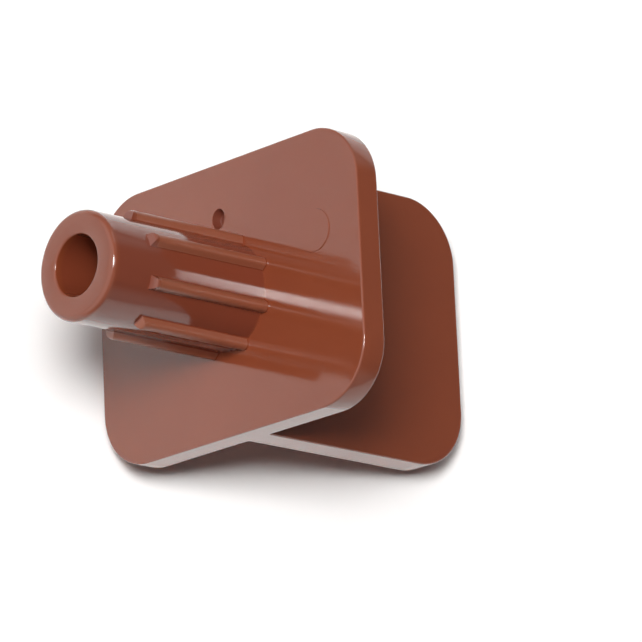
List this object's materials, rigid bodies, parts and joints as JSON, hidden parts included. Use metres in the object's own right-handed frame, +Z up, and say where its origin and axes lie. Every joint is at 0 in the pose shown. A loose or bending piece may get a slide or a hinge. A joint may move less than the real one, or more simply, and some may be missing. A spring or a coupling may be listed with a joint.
{
  "type": "shelf support pin",
  "caption": "Moulded push-in shelf support: a hollow ribbed pin goes into the cabinet side, a rounded plate seats against it and a flat tongue carries the shelf.",
  "frame": {"origin": "on the pin's axis, in the plane of the plate's seat face, which is the mouth of the cabinet's hole", "axes": "+X from the cabinet side out under the shelf, along the pin's axis; -X into the cabinet side; +Z up, out of the tongue's shelf face; Y across the plate and the tongue"},
  "size_m": [0.025, 0.0142, 0.019],
  "materials": {
    "moulded_plastic": "gloss, as moulded, red-brown right through"
  },
  "bodies": {
    "root": {"shelf_support": "moulded_plastic"}
  },
  "joints": []
}
